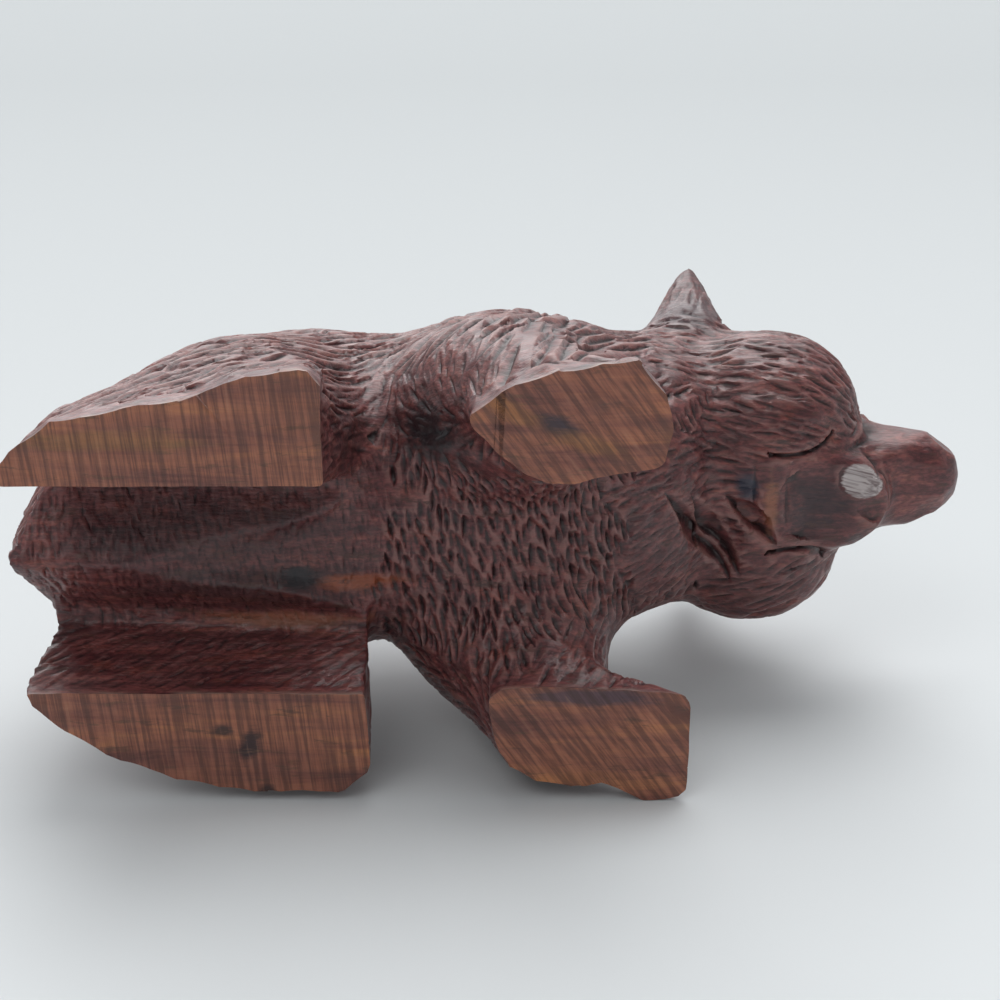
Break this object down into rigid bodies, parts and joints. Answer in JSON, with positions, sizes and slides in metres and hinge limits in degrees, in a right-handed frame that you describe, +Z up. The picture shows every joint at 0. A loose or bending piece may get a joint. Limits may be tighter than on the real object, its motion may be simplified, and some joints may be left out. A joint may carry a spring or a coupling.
{
  "type": "carved bear figurine",
  "caption": "Small carved hardwood bear standing on four flat-sawn soles, with a gouge-cut coat, pointed ears and a long snout.",
  "frame": {"origin": "middle of the bounding box in plan, level with the sawn soles", "axes": "+X towards the nose, +Y the bear's left, +Z up"},
  "size_m": [0.1572, 0.0774, 0.0759],
  "materials": {
    "wood": "dark stained and waxed hardwood, soles left raw from the saw"
  },
  "bodies": {
    "root": {"bear": "wood"}
  },
  "joints": []
}
